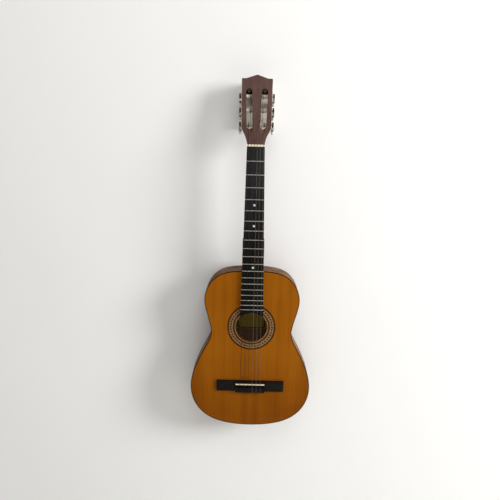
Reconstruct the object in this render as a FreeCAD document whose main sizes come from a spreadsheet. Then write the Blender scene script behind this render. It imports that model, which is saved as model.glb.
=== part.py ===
import FreeCAD, Part
import math
import os
import re
import Sketcher

# A classical guitar hung on a wall hanger.  Millimetres.  World frame: X to the viewer's right,
# Y into the wall (the wall is y = 0), Z up, origin on the back face of the hanger's wall plate.
#
# Three local frames are used, each turned into a Placement:
#   world  - wall plate and bracket flange
#   guitar - origin on the neck's front plane at the nut's front edge; local z runs up the neck,
#            so a point T below the nut is z = -T, and local y runs into the body
#   head   - tilted back about X at the nut; local y is the depth below the head's face and local
#            z the distance s along the head

os.makedirs("parts", exist_ok=True)
doc = FreeCAD.newDocument("guitar_on_wall_hanger")

SIZES = [
    # where the guitar hangs
    ("face_y", -95.0, "soundboard plane, in front of the wall"),
    ("nut_z", -108.5, "nut's front edge, below the origin"),
    # neck, board and scale
    ("scale_len", 649.0, "nut to saddle"),
    ("board_nut_half", 22.5, "half width of the fingerboard at the nut"),
    ("board_taper", 0.0185, "growth of the half width per mm"),
    ("board_thick", 6.0, "fingerboard thickness"),
    ("board_end", 452.0, "fingerboard's side ends, below the nut"),
    ("board_end_rad", 42.5, "radius of the fingerboard's hollow end"),
    ("fret_rad", 1.1, "fret crown radius"),
    ("dot_rad", 3.0, "position dot radius"),
    ("dot_deep", 1.0, "position dot thickness"),
    ("nut_thick", 5.0, "nut, along the neck"),
    ("nut_high", 8.0, "nut height above the neck plane"),
    ("string_low", 7.6, "underside of the strings at the nut, above the neck plane"),
    ("neck_nut_deep", 15.0, "neck depth at the nut, without the board"),
    ("neck_heel_deep", 17.5, "neck depth at the heel, without the board"),
    ("heel_start", 250.0, "where the heel starts to grow out of the neck"),
    ("heel_cap", 19.0, "heel's length at its cap"),
    ("heel_cap_half", 12.0, "half width of the heel cap"),
    # head
    ("head_angle", 12.5, "head tilt"),
    ("head_y", -2.6, "head face at the nut's front edge, from the neck plane"),
    ("head_thick", 20.0, "head thickness with its veneer"),
    ("veneer_thick", 1.5, "head veneer"),
    ("head_start", 5.5, "where the head starts behind the nut"),
    ("head_flare_low", 10.0, "start of the flare"),
    ("head_flare_top", 50.0, "end of the flare"),
    ("head_low_half", 37.0, "half width at the end of the flare"),
    ("head_top_half", 39.2, "half width at the shoulders"),
    ("head_shoulder", 172.0, "height of the shoulders"),
    ("head_bevel", 1.5, "bevel of the shoulders' corners"),
    ("head_step_half", 28.0, "half width where the shoulders turn into the gable"),
    ("head_peak", 181.8, "height of the peak"),
    ("slot_half", 7.8, "half width of a slot"),
    ("slot_off", 20.1, "slot centre from the centreline at its upper end"),
    ("slot_off_low", 17.0, "slot centre from the centreline at its lower end"),
    ("slot_low", 45.0, "lower end of a slot"),
    ("slot_top", 146.4, "upper end of a slot"),
    ("ramp_low", 31.0, "where the string ramp leaves the head's face"),
    ("ramp_rad", 7.6, "string ramp radius"),
    ("ramp_fall", 0.35, "depth the ramp gains per mm"),
    # body
    ("joint_at", 325.0, "body's neck end, below the nut"),
    ("tail_at", 779.8, "body's tail end, below the nut"),
    ("deep_neck", 60.0, "body depth at the neck end"),
    ("deep_tail", 64.0, "body depth at the tail"),
    ("top_thick", 2.5, "soundboard thickness"),
    ("back_thick", 2.5, "back thickness"),
    ("side_thick", 2.0, "side and binding thickness"),
    ("lining_wide", 5.0, "lining width"),
    ("lining_high", 11.0, "lining height"),
    ("hole_at", 484.0, "soundhole centre, below the nut"),
    ("hole_rad", 41.5, "soundhole radius"),
    ("inlay_deep", 1.0, "rosette inlay depth"),
    ("line_at", 43.6, "inner radius of the rosette's pale line"),
    ("line_wide", 2.6, "width of the pale line"),
    ("band_in", 50.8, "rosette's beaded band, inner radius"),
    ("band_out", 61.4, "rosette's beaded band, outer radius"),
    ("inlay_out", 66.2, "rosette's outer radius"),
    ("bead_rad", 2.3, "rosette bead radius"),
    ("bead_ring", 56.4, "radius of the ring of beads"),
    ("bead_deep", 0.6, "rosette bead thickness"),
    ("bar_wide", 7.0, "brace bar width"),
    ("bar_high", 15.0, "brace bar height"),
    ("fan_wide", 4.0, "fan brace width"),
    ("fan_high", 4.5, "fan brace height"),
    ("label_half", 48.0, "half width of the paper label"),
    ("label_top", 425.0, "label's top edge, below the nut"),
    ("label_low", 510.5, "label's bottom edge, below the nut"),
    ("label_thick", 0.4, "paper label thickness"),
    # bridge
    ("bridge_half", 93.4, "half length of the bridge"),
    ("bridge_top", 642.0, "bridge's upper edge, below the nut"),
    ("bridge_low", 673.0, "bridge wings' lower edge, below the nut"),
    ("wing_high", 4.5, "bridge wing height"),
    ("block_half", 41.0, "half length of the raised middle"),
    ("block_top", 644.0, "saddle block's upper edge"),
    ("block_low", 654.3, "saddle block's lower edge"),
    ("block_high", 8.8, "saddle block height"),
    ("tie_top", 662.0, "tie block's upper edge"),
    ("tie_low", 676.0, "tie block's lower edge"),
    ("tie_high", 8.0, "tie block height"),
    ("tie_hole_y", 5.7, "string hole height above the soundboard"),
    ("tie_hole_rad", 0.9, "string hole radius"),
    ("saddle_half", 40.0, "half length of the saddle"),
    ("saddle_thick", 2.6, "saddle thickness"),
    ("saddle_foot", 4.0, "height of the saddle's foot"),
    ("saddle_high", 12.4, "height of the saddle's top"),
    ("nut_spread", 38.0, "outer strings apart at the nut"),
    ("saddle_spread", 56.0, "outer strings apart at the saddle"),
    # tuners, in the head frame
    ("tuner_low", 57.5, "lowest roller along the head"),
    ("tuner_pitch", 36.0, "roller spacing"),
    ("roller_deep", 10.5, "roller axis below the head's face"),
    ("roller_rad", 5.0, "roller radius"),
    ("wind_rad", 5.9, "radius over the string's winding"),
    ("wind_half", 2.2, "half length of the winding"),
    ("string_hole_rad", 0.9, "string hole through the roller"),
    ("axle_rad", 3.0, "roller axle radius"),
    ("axle_fit", 0.08, "running clearance of axles and posts"),
    ("axle_end", 4.5, "inner end of the axle, from the centreline"),
    ("plate_thick", 1.2, "tuner side plate thickness"),
    ("plate_low", 43.0, "side plate's lower end along the head"),
    ("plate_top", 139.0, "side plate's upper end along the head"),
    ("plate_front", 3.5, "side plate's front edge below the face"),
    ("plate_back", 17.5, "side plate's back edge below the face"),
    ("gear_gap", 1.1, "gear to side plate"),
    ("gear_rad", 7.4, "gear radius"),
    ("gear_thick", 4.0, "gear thickness"),
    ("gear_teeth", 14.0, "gear teeth, one turn of the roller per 14 of the button"),
    ("gear_bore", 2.0, "gear bore radius"),
    ("worm_off", 10.8, "worm axis below the roller axis"),
    ("worm_rad", 3.0, "worm radius"),
    ("worm_root", 2.3, "worm root radius"),
    ("post_rad", 1.5, "worm post radius"),
    ("lug_thick", 1.7, "bearing lug thickness"),
    ("lug_half", 2.6, "half width of a bearing lug"),
    ("button_gap", 6.5, "head's back to the button"),
    ("button_long", 17.0, "button length"),
    ("button_half", 8.5, "half width of the button's broad side"),
    ("button_thin", 4.5, "half thickness of the button"),
    # hanger
    ("wall_half", 36.0, "half width of the wall plate"),
    ("wall_high", 117.5, "height of the wall plate"),
    ("wall_arch", 15.5, "rise of the plate's arched top"),
    ("wall_thick", 24.0, "wall plate thickness"),
    ("wall_ease", 2.5, "bevel round the wall plate's front"),
    ("wall_hole", 2.5, "wall screw hole radius"),
    ("wall_sink", 4.8, "wall screw countersink radius"),
    ("wall_hole_z", 94.0, "wall screws apart, one above the other"),
    ("flange_half", 11.0, "half width of the bracket flange"),
    ("flange_high", 44.0, "height of the bracket flange"),
    ("flange_mid", 18.0, "middle of the flange above the origin"),
    ("flange_thick", 4.0, "flange thickness"),
    ("arm_rad", 6.0, "bracket arm radius"),
    ("bar_rad", 5.0, "cross bar radius"),
    ("bar_deep", 31.0, "cross bar axis below the head's face"),
    ("peg_rad", 3.0, "steel peg radius"),
    ("peg_tip", 4.0, "peg's tip below the head's face"),
    ("sleeve_rad", 4.6, "rubber sleeve radius"),
    ("sleeve_tip", 2.0, "sleeve's tip below the head's face"),
    ("collar_rad", 9.0, "sleeve collar radius"),
    ("collar_thick", 3.5, "sleeve collar thickness"),
    ("hang_gap", 0.3, "clearance between sleeve and slot end, and collar and head"),
    ("screw_rad", 2.1, "bracket screw radius"),
    ("screw_head", 4.5, "bracket screw head radius"),
    ("screw_head_high", 2.6, "bracket screw head height"),
    ("screw_off", 15.0, "bracket screws from the flange's middle"),
    ("screw_in", 15.0, "bracket screw length in the plate"),
    ("tap_rad", 2.2, "hole for a bracket screw"),
]

sheet = doc.addObject("Spreadsheet::Sheet", "Dims")
for row, (alias, value, note) in enumerate(SIZES, start=1):
    sheet.set("A%d" % row, alias)
    sheet.set("B%d" % row, repr(value))
    sheet.set("C%d" % row, note)
    sheet.setAlias("B%d" % row, alias)
doc.recompute()

NAMES = set(alias for alias, value, note in SIZES)
WORD = re.compile(r"[a-z][a-z_]*[a-z]")


def size(alias):
    """The sheet's number for one alias."""
    return float(getattr(sheet, alias))


def link(text):
    """Turns bare size names in a formula into references to the sheet."""
    return WORD.sub(lambda m: "Dims." + m.group(0) if m.group(0) in NAMES else m.group(0), str(text))


def bind(obj, **props):
    """Binds properties to formulas over the sheet's sizes."""
    for prop, text in props.items():
        obj.setExpression(prop.replace("__", "."), link(text))


def place(obj, x=0, y=0, z=0, turn=None):
    """Places an object: fixed turn first, then a bound base point."""
    if turn is not None:
        obj.Placement = FreeCAD.Placement(FreeCAD.Vector(), turn)
    for axis, text in (("x", x), ("y", y), ("z", z)):
        obj.setExpression("Placement.Base." + axis, link(text))
    return obj


def in_guitar(obj):
    """Puts an object built in guitar coordinates where the guitar hangs."""
    return place(obj, 0, "face_y", "nut_z")


def in_head(obj):
    """Puts an object built in head coordinates on the tilted head."""
    tilt = FreeCAD.Rotation(FreeCAD.Vector(-1, 0, 0), size("head_angle"))
    obj.Placement = FreeCAD.Placement(FreeCAD.Vector(), tilt)
    obj.setExpression("Placement.Rotation.Angle", link("head_angle"))
    return place(obj, 0, "face_y + head_y", "nut_z")


TURN_X = FreeCAD.Rotation(FreeCAD.Vector(0, 1, 0), 90)      # cylinder axis along +X
TURN_Y = FreeCAD.Rotation(FreeCAD.Vector(1, 0, 0), -90)     # cylinder axis along +Y
TURN_FRET = FreeCAD.Rotation(
    FreeCAD.Vector(0, 0, 1), FreeCAD.Vector(0, -1, 0), FreeCAD.Vector(1, 0, 0), "XYZ"
)

NODES = []


def node(obj, label):
    """Marks an object as one exported sub-part."""
    obj.Label = label
    NODES.append(obj)
    return obj


def unique(stem):
    """A free internal name for a helper object."""
    return "%s_%03d" % (stem, len(doc.Objects))


def box(x, y, z, at_x, at_y, at_z):
    obj = doc.addObject("Part::Box", unique("box"))
    bind(obj, Length=x, Width=y, Height=z)
    return place(obj, at_x, at_y, at_z)


def rod(radius, length, at_x, at_y, at_z, turn=None):
    obj = doc.addObject("Part::Cylinder", unique("rod"))
    bind(obj, Radius=radius, Height=length)
    return place(obj, at_x, at_y, at_z, turn)


def fuse(parts):
    obj = doc.addObject("Part::MultiFuse", unique("fuse"))
    obj.Shapes = parts
    return obj


def cut(base, tool):
    obj = doc.addObject("Part::Cut", unique("cut"))
    obj.Base = base
    obj.Tool = tool
    return obj


def group(parts):
    obj = doc.addObject("Part::Compound", unique("group"))
    obj.Links = parts
    return obj


def feature(shape):
    """A code-made solid, for free-form shapes with no primitive or pad that fits."""
    obj = doc.addObject("Part::Feature", unique("form"))
    obj.Shape = shape
    return obj


# ---------------------------------------------------------------- PartDesign helpers

def new_body(stem):
    return doc.addObject("PartDesign::Body", unique(stem))


def plane_of(body, role):
    return next(f for f in body.Origin.OriginFeatures if f.Role == role)


def sketch_on(body, role, offset=0):
    """A sketch on one of the body's own planes, shifted along the plane's normal."""
    sk = body.newObject("Sketcher::SketchObject", unique("sketch"))
    sk.AttachmentSupport = (plane_of(body, role), [""])
    sk.MapMode = "FlatFace"
    bind(sk, AttachmentOffset__Base__z=offset)
    return sk


def number(text):
    """A formula's present value, used to draw a sketch before it is bound."""
    names = {alias: size(alias) for alias in NAMES}
    total = 0.0
    for sign, term in re.findall(r"([+-]?)\s*([^+-]+)", str(text)):
        value = 1.0
        for factor in term.split("*"):
            word = factor.strip()
            value *= names[word] if word in names else float(word)
        total += -value if sign == "-" else value
    return total


def scaled(alias, factor):
    """A size times a signed factor, as a formula."""
    return "%s%s * %.4f" % ("-" if factor < 0 else "", alias, abs(factor))


def pin(sk, index, end, x, y):
    """Fixes a sketch point by two bound distances, or on an axis where the distance is nil."""
    for kind, text, axis in (("DistanceX", x, -2), ("DistanceY", y, -1)):
        value = number(text)
        if abs(value) < 1e-9:
            sk.addConstraint(Sketcher.Constraint("PointOnObject", index, end, axis))
            continue
        if value < 0:
            made = sk.addConstraint(Sketcher.Constraint(kind, index, end, -1, 1, -value))
            sk.setExpression("Constraints[%d]" % made, link("-(%s)" % text))
        else:
            made = sk.addConstraint(Sketcher.Constraint(kind, -1, 1, index, end, value))
            sk.setExpression("Constraints[%d]" % made, link(text))


def draw_polygon(sk, points):
    """A closed outline through bound points."""
    at = [FreeCAD.Vector(number(x), number(y), 0) for x, y in points]
    first = sk.GeometryCount
    count = len(points)
    for i in range(count):
        sk.addGeometry(Part.LineSegment(at[i], at[(i + 1) % count]), False)
    for i in range(count):
        nxt = first + (i + 1) % count
        sk.addConstraint(Sketcher.Constraint("Coincident", first + i, 2, nxt, 1))
    for i, (x, y) in enumerate(points):
        pin(sk, first + i, 1, x, y)


def draw_circle(sk, x, y, radius):
    centre = FreeCAD.Vector(number(x), number(y), 0)
    made = sk.addGeometry(Part.Circle(centre, FreeCAD.Vector(0, 0, 1), number(radius)), False)
    pin(sk, made, 3, x, y)
    bound = sk.addConstraint(Sketcher.Constraint("Radius", made, number(radius)))
    sk.setExpression("Constraints[%d]" % bound, link(radius))


def pad(body, sk, length, back=False, both=False):
    obj = body.newObject("PartDesign::Pad", unique("pad"))
    obj.Profile = sk
    bind(obj, Length=length)
    obj.Reversed = back
    if both:
        obj.SideType = "Symmetric"
    sk.Visibility = False
    body.Tip = obj
    return obj


def pocket(body, sk, length, back=False):
    doc.recompute()
    before = body.Shape.Volume
    obj = body.newObject("PartDesign::Pocket", unique("pocket"))
    obj.Profile = sk
    bind(obj, Length=length)
    obj.Reversed = back
    sk.Visibility = False
    body.Tip = obj
    doc.recompute()
    if body.Shape.Volume > before - 1e-3:
        raise RuntimeError("a pocket removed nothing: " + obj.Name)
    return obj


# ---------------------------------------------------------------- the body's outline

# Half widths of the body at distances below the nut, from the neck end round to the tail.
UPPER_BOUT = [(325.5, 25), (328, 54.5), (336, 84), (350, 104.4), (372, 119.8), (400, 128.4), (430, 126)]
WAIST = [(460, 118), (484, 112), (503, 110.2), (522, 114.8), (548, 127.8)]
LOWER_BOUT = [(580, 143.7), (615, 158.2), (650, 165.7), (685, 164.2), (716, 153.0), (743, 132.2)]
TAIL = [(763, 101), (773.6, 67), (778.4, 33)]
HALF_OUTLINE = UPPER_BOUT + WAIST + LOWER_BOUT + TAIL
INSET_SAMPLES = 120
FAR = 400.0


def periodic(points):
    curve = Part.BSplineCurve()
    curve.interpolate(points, PeriodicFlag=True)
    return curve


def outline_curve(inset):
    """The body's outline moved inwards by a distance, in a sketch's own coordinates."""
    right = [FreeCAD.Vector(half, -below, 0) for below, half in HALF_OUTLINE]
    left = [FreeCAD.Vector(-half, -below, 0) for below, half in reversed(HALF_OUTLINE)]
    neck_end = FreeCAD.Vector(0, -size("joint_at"), 0)
    tail_end = FreeCAD.Vector(0, -size("tail_at"), 0)
    curve = periodic([neck_end] + right + [tail_end] + left)
    if inset == 0:
        return curve
    first, last = curve.FirstParameter, curve.LastParameter
    moved = []
    for i in range(INSET_SAMPLES):
        at = first + (last - first) * i / INSET_SAMPLES
        along = curve.tangent(at)[0]
        # the outline runs clockwise, so inwards is to the right of the way along
        moved.append(curve.value(at) + FreeCAD.Vector(along.y, -along.x, 0) * inset)
    return periodic(moved)


def draw_outline(sk, inset):
    made = sk.addGeometry(outline_curve(inset), False)
    sk.addConstraint(Sketcher.Constraint("Block", made))


def prism(inset, front, back):
    """The outline's inset area between two depths, in guitar coordinates."""
    wire = Part.Wire(outline_curve(inset).toShape())
    face = Part.Face(wire)
    face.Placement = FreeCAD.Placement(
        FreeCAD.Vector(0, front, 0), FreeCAD.Rotation(FreeCAD.Vector(1, 0, 0), 90)
    )
    return face.extrude(FreeCAD.Vector(0, back - front, 0))


def back_at(below):
    """Depth of the back's outer plane at a distance below the nut."""
    slope = (size("deep_tail") - size("deep_neck")) / (size("tail_at") - size("joint_at"))
    return size("deep_neck") + slope * (below - size("joint_at"))


def back_slab(outer, inner):
    """Everything between two planes parallel to the back, given by offsets from its outer plane."""
    high, low = 200.0, 900.0
    corners = [
        FreeCAD.Vector(-FAR, back_at(high) + outer, -high),
        FreeCAD.Vector(-FAR, back_at(low) + outer, -low),
        FreeCAD.Vector(-FAR, back_at(low) + inner, -low),
        FreeCAD.Vector(-FAR, back_at(high) + inner, -high),
    ]
    return Part.Face(Part.makePolygon(corners + corners[:1])).extrude(FreeCAD.Vector(2 * FAR, 0, 0))


def block(x0, x1, y0, y1, below0, below1):
    """An axis-aligned block between two distances below the nut."""
    return Part.makeBox(x1 - x0, y1 - y0, below1 - below0, FreeCAD.Vector(x0, y0, -below1))


TOP = size("top_thick")
BACK = size("back_thick")
SIDE = size("side_thick")
INNER = SIDE + size("lining_wide")
DEEP = size("deep_tail")

# ---------------------------------------------------------------- soundboard and rosette

top_body = new_body("soundboard")
sk = sketch_on(top_body, "XZ_Plane")
draw_outline(sk, SIDE)
pad(top_body, sk, "top_thick", back=True)
sk = sketch_on(top_body, "XZ_Plane")
draw_circle(sk, 0, "-hole_at", "hole_rad")
pocket(top_body, sk, "top_thick")
sk = sketch_on(top_body, "XZ_Plane")
draw_circle(sk, 0, "-hole_at", "inlay_out")
pocket(top_body, sk, "inlay_deep")
in_guitar(node(top_body, "soundboard"))


def ring(inner, outer, deep):
    """A flat ring round the soundhole, let in flush with the soundboard."""
    body = new_body("ring")
    sk = sketch_on(body, "XZ_Plane")
    draw_circle(sk, 0, "-hole_at", inner)
    draw_circle(sk, 0, "-hole_at", outer)
    pad(body, sk, deep, back=True)
    return body


BEADS = 46
bead_rods = []
for i in range(BEADS):
    turn = "%.3f" % (360.0 * (i + 0.5) / BEADS)
    bead_x = "bead_ring * sin(%s deg)" % turn
    bead_z = "bead_ring * cos(%s deg) - hole_at" % turn
    bead_rods.append(rod("bead_rad", "bead_deep", bead_x, 0, bead_z, TURN_Y))
beads = group(bead_rods)
in_guitar(node(group([beads]), "rosette_beads"))
pale_rings = [
    ring("line_at", "line_at + line_wide", "inlay_deep"),
    cut(ring("band_in", "band_out", "inlay_deep"), beads),
]
in_guitar(node(group(pale_rings), "rosette_band"))
dark_rings = [
    ring("hole_rad", "line_at", "inlay_deep"),
    ring("line_at + line_wide", "band_in", "inlay_deep"),
    ring("band_out", "inlay_out", "inlay_deep"),
]
in_guitar(node(group(dark_rings), "rosette_rings"))

# ---------------------------------------------------------------- bindings, sides, back

binding = new_body("binding")
sk = sketch_on(binding, "XZ_Plane")
draw_outline(sk, 0)
draw_outline(sk, SIDE)
pad(binding, sk, "top_thick", back=True)
in_guitar(node(binding, "top_binding"))

rim = prism(0, TOP, DEEP + 5).cut(prism(SIDE, TOP - 1, DEEP + 6))
rim_low = rim.common(back_slab(-BACK, -DEEP))
for label, x0, x1 in (("side_left", -FAR, 0.0), ("side_right", 0.0, FAR)):
    half = rim_low.common(block(x0, x1, 0, DEEP + 10, 200, 900))
    in_guitar(node(feature(half), label))
in_guitar(node(feature(rim.common(back_slab(0, -BACK))), "back_binding"))
back_board = prism(SIDE, TOP, DEEP + 5).common(back_slab(0, -BACK))
in_guitar(node(feature(back_board), "back_plate"))

# ---------------------------------------------------------------- inside the body

hollow = prism(SIDE, TOP, DEEP).common(back_slab(-BACK, -DEEP))
neck_end = hollow.common(block(-32, 32, 0, DEEP, 300, 352))
tail_end = hollow.common(block(-36, 36, 0, DEEP, 761, 800))
in_guitar(node(feature(Part.makeCompound([neck_end, tail_end])), "end_blocks"))

lining_ring = hollow.cut(prism(INNER, 0, DEEP)).cut(neck_end).cut(tail_end)
front_lining = lining_ring.common(block(-FAR, FAR, TOP, TOP + size("lining_high"), 200, 900))
back_lining = lining_ring.common(back_slab(-BACK, -BACK - size("lining_high")))
in_guitar(node(feature(Part.makeCompound([front_lining, back_lining])), "linings"))

reach = prism(INNER + 0.5, TOP, DEEP)
BAR = size("bar_wide") / 2
FRONT_BARS = (431.0, 540.0)
bars = [
    reach.common(block(-FAR, FAR, TOP, TOP + size("bar_high"), at - BAR, at + BAR))
    for at in FRONT_BARS
]
FANS = 7
for i in range(FANS):
    step = i - (FANS - 1) / 2
    corner = FreeCAD.Vector(-size("fan_wide") / 2, TOP, 0)
    fan = Part.makeBox(size("fan_wide"), size("fan_high"), 178, corner)
    lean = FreeCAD.Rotation(FreeCAD.Vector(0, 1, 0), -4.5 * step)
    fan.Placement = FreeCAD.Placement(FreeCAD.Vector(step * 27, 0, -738), lean)
    bars.append(fan)
in_guitar(node(feature(Part.makeCompound(bars)), "soundboard_braces"))

BACK_BARS = (392.0, 578.0, 680.0)
inner_zone = prism(INNER + 0.5, 0, DEEP).common(back_slab(-BACK, -BACK - size("bar_high")))
back_bars = [
    inner_zone.common(block(-FAR, FAR, 0, DEEP, at - BAR, at + BAR)) for at in BACK_BARS
]
in_guitar(node(feature(Part.makeCompound(back_bars)), "back_braces"))

LABEL_X = size("label_half")
paper = block(-LABEL_X, LABEL_X, 0, DEEP, size("label_top"), size("label_low"))
low_edges = [
    edge for edge in paper.Edges
    if abs(edge.CenterOfMass.z + size("label_low")) < 1e-6 and edge.BoundBox.YLength > 1
]
paper = paper.makeFillet(4, low_edges)
paper = paper.common(back_slab(-BACK, -BACK - size("label_thick")))
in_guitar(node(feature(paper), "label"))

# ---------------------------------------------------------------- neck and head


def head_point(x, deep, along):
    """A point of the head frame in guitar coordinates."""
    tilt = math.radians(size("head_angle"))
    y = size("head_y") + along * math.sin(tilt) + deep * math.cos(tilt)
    z = along * math.cos(tilt) - deep * math.sin(tilt)
    return FreeCAD.Vector(x, y, z)


def head_rod(radius, length, x, deep, along, direction):
    """A cylinder in the head frame, as a plain shape."""
    return Part.makeCylinder(radius, length, FreeCAD.Vector(x, deep, along), direction)


ACROSS = FreeCAD.Vector(1, 0, 0)
INWARD = FreeCAD.Vector(0, 1, 0)
TUNER_AT = [size("tuner_low") + size("tuner_pitch") * i for i in range(3)]
SLOT_R = size("slot_half")
SLOT_ENDS = (size("slot_low") + SLOT_R, size("slot_top") - SLOT_R)
SLOT_LEAN = (size("slot_off") - size("slot_off_low")) / (SLOT_ENDS[1] - SLOT_ENDS[0])


def slot_x(along):
    """Distance of a slot's middle from the centreline: the slots draw together downwards."""
    return size("slot_off_low") + SLOT_LEAN * (along - SLOT_ENDS[0])


def head_outline(front):
    """The head's outline: a flare above the nut, nearly straight sides and a low gable."""
    flare = [
        (size("board_nut_half"), size("head_start")),
        (size("board_nut_half") + 0.2, size("head_flare_low")),
        (24.2, 17.0),
        (26.4, 25.0),
        (29.3, 31.5),
        (33.4, 40.0),
        (size("head_low_half"), size("head_flare_top")),
    ]
    corners = [
        flare[-1],
        (size("head_top_half"), size("head_shoulder") - size("head_bevel")),
        (size("head_top_half") - size("head_bevel"), size("head_shoulder")),
        (size("head_step_half"), size("head_shoulder")),
        (0, size("head_peak")),
    ]
    curve = Part.BSplineCurve()
    curve.interpolate([FreeCAD.Vector(x, front, along) for x, along in flare])
    straight = Part.makePolygon([FreeCAD.Vector(x, front, along) for x, along in corners])
    right = [curve.toShape()] + straight.Edges
    left = [edge.mirror(FreeCAD.Vector(), ACROSS) for edge in right]
    x, along = flare[0]
    foot = Part.makeLine(FreeCAD.Vector(-x, front, along), FreeCAD.Vector(x, front, along))
    return Part.Wire(Part.__sortEdges__(right + left + [foot]))


def head_solid(front, back):
    """The slotted head between two depths, in the head frame."""
    solid = Part.Face(head_outline(front)).extrude(FreeCAD.Vector(0, back - front, 0))
    through = back - front + 2
    fall = math.atan(size("ramp_fall"))
    ramp_r = size("ramp_rad")
    ramp_start = size("ramp_low") + ramp_r * math.sin(fall)
    for side in (-1, 1):
        middles = [FreeCAD.Vector(side * slot_x(end), front - 1, end) for end in SLOT_ENDS]
        aside = FreeCAD.Vector(1, 0, -side * SLOT_LEAN).normalize() * SLOT_R
        low, high = middles
        corners = [low - aside, low + aside, high + aside, high - aside, low - aside]
        slot = Part.Face(Part.makePolygon(corners)).extrude(FreeCAD.Vector(0, through, 0))
        for middle in middles:
            slot = slot.fuse(Part.makeCylinder(SLOT_R, through, middle, INWARD))
        solid = solid.cut(slot)
        # the strings' ramp: a round-bottomed trough that runs down into the slot
        start = FreeCAD.Vector(side * slot_x(ramp_start), -ramp_r * math.cos(fall), ramp_start)
        along = FreeCAD.Vector(side * SLOT_LEAN, size("ramp_fall"), 1)
        solid = solid.cut(Part.makeCylinder(ramp_r, 28, start, along))
    return solid


def neck_shape():
    start = -size("nut_thick")
    # the heel is made a little long, then cut to the body's outline
    heel_end = size("joint_at") + 4
    wires = []
    for below, deep in ((start, size("neck_nut_deep")), (heel_end, size("neck_heel_deep"))):
        half = size("board_nut_half") + size("board_taper") * max(below, 0)
        oval = Part.Ellipse(FreeCAD.Vector(0, 0, 0), half, deep).toShape()
        oval.rotate(FreeCAD.Vector(), FreeCAD.Vector(0, 0, 1), 0)
        oval.translate(FreeCAD.Vector(0, 0, -below))
        wires.append(Part.Wire(oval))
    shaft = Part.makeLoft(wires, True, True)
    shaft = shaft.cut(block(-FAR, FAR, -FAR, 0, -50, 900))

    # heel: the side view's curve, narrowed towards its cap
    cap_deep = size("deep_neck")
    curve = Part.BSplineCurve()
    curve.buildFromPoles([
        FreeCAD.Vector(0, 12, -size("heel_start") + 12),
        FreeCAD.Vector(0, 18, -size("heel_start") - 22),
        FreeCAD.Vector(0, 26, -heel_end + size("heel_cap") + 12),
        FreeCAD.Vector(0, cap_deep - 18, -heel_end + size("heel_cap") + 3),
        FreeCAD.Vector(0, cap_deep, -heel_end + size("heel_cap")),
    ])
    corners = [curve.EndPoint, FreeCAD.Vector(0, cap_deep, -heel_end), FreeCAD.Vector(0, 0, -heel_end),
               FreeCAD.Vector(0, 0, -size("heel_start") + 12), curve.StartPoint]
    side_view = Part.Wire([curve.toShape()] + Part.makePolygon(corners).Edges)
    heel = Part.Face(side_view).extrude(FreeCAD.Vector(2 * 40, 0, 0))
    heel.translate(FreeCAD.Vector(-40, 0, 0))
    top_half = size("board_nut_half") + size("board_taper") * heel_end
    cap_half = size("heel_cap_half")
    cheek = Part.BSplineCurve()
    cheek.buildFromPoles([
        FreeCAD.Vector(top_half, 0, 0),
        FreeCAD.Vector(top_half * 0.98, 14, 0),
        FreeCAD.Vector(cap_half + 4, 24, 0),
        FreeCAD.Vector(cap_half + 1, 50, 0),
        FreeCAD.Vector(cap_half, cap_deep, 0),
    ])
    left = cheek.toShape().mirror(FreeCAD.Vector(), FreeCAD.Vector(1, 0, 0))
    closing = [
        Part.makeLine(FreeCAD.Vector(cap_half, cap_deep, 0), FreeCAD.Vector(-cap_half, cap_deep, 0)),
        Part.makeLine(FreeCAD.Vector(-top_half, 0, 0), FreeCAD.Vector(top_half, 0, 0)),
    ]
    end_view = Part.Wire([cheek.toShape(), closing[0], left, closing[1]])
    column = Part.Face(end_view).extrude(FreeCAD.Vector(0, 0, -heel_end))
    neck = shaft.fuse(heel.common(column))

    # head, in its own tilted frame, joined under the nut
    head = head_solid(size("veneer_thick"), size("head_thick"))
    inner = size("axle_end") - 0.5
    hole = size("axle_rad") + size("axle_fit")
    for along in TUNER_AT:
        for side in (-1, 1):
            x = inner if side > 0 else -FAR
            head = head.cut(head_rod(hole, FAR - inner, x, size("roller_deep"), along, ACROSS))
    veneer = head_solid(0, size("veneer_thick"))
    tilted = FreeCAD.Placement(
        head_point(0, 0, 0), FreeCAD.Rotation(FreeCAD.Vector(-1, 0, 0), size("head_angle"))
    )
    for shape in (head, veneer):
        shape.Placement = tilted
    half = size("board_nut_half")
    volute = block(-half, half, 0, 15, -size("nut_thick") - 3, 0).common(
        Part.makeCylinder(half, 20, FreeCAD.Vector(0, 0, -1), FreeCAD.Vector(0, 0, 1)))
    neck = neck.cut(prism(0, 0, DEEP + 5))
    return neck.fuse(head.fuse(volute.cut(veneer))).removeSplitter()


in_guitar(node(feature(neck_shape()), "neck"))
in_head(node(feature(head_solid(0, size("veneer_thick"))), "head_veneer"))

# ---------------------------------------------------------------- fingerboard, frets, dots, nut

board = new_body("fingerboard")
sk = sketch_on(board, "XZ_Plane")
draw_polygon(sk, [
    ("board_nut_half", 0),
    ("board_nut_half + board_taper * board_end", "-board_end"),
    ("-board_nut_half - board_taper * board_end", "-board_end"),
    ("-board_nut_half", 0),
])
pad(board, sk, "board_thick")
sk = sketch_on(board, "XZ_Plane")
draw_circle(sk, 0, "-hole_at", "board_end_rad")
pocket(board, sk, "board_thick", back=True)
DOT_FRETS = (5, 7, 12)


def fret_at(number):
    """Distance of a fret below the nut, as a formula."""
    return "scale_len * %.6f" % (1 - 2 ** (-number / 12))


sk = sketch_on(board, "XZ_Plane", "board_thick")
dots = []
for fret in DOT_FRETS:
    middle = "-scale_len * %.6f" % (1 - (2 ** (-fret / 12) + 2 ** (-(fret - 1) / 12)) / 2)
    draw_circle(sk, 0, middle, "dot_rad")
    dots.append(rod("dot_rad", "dot_deep", 0, "-board_thick", middle, TURN_Y))
pocket(board, sk, "dot_deep")
in_guitar(node(board, "fingerboard"))
in_guitar(node(group(dots), "position_dots"))

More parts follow.
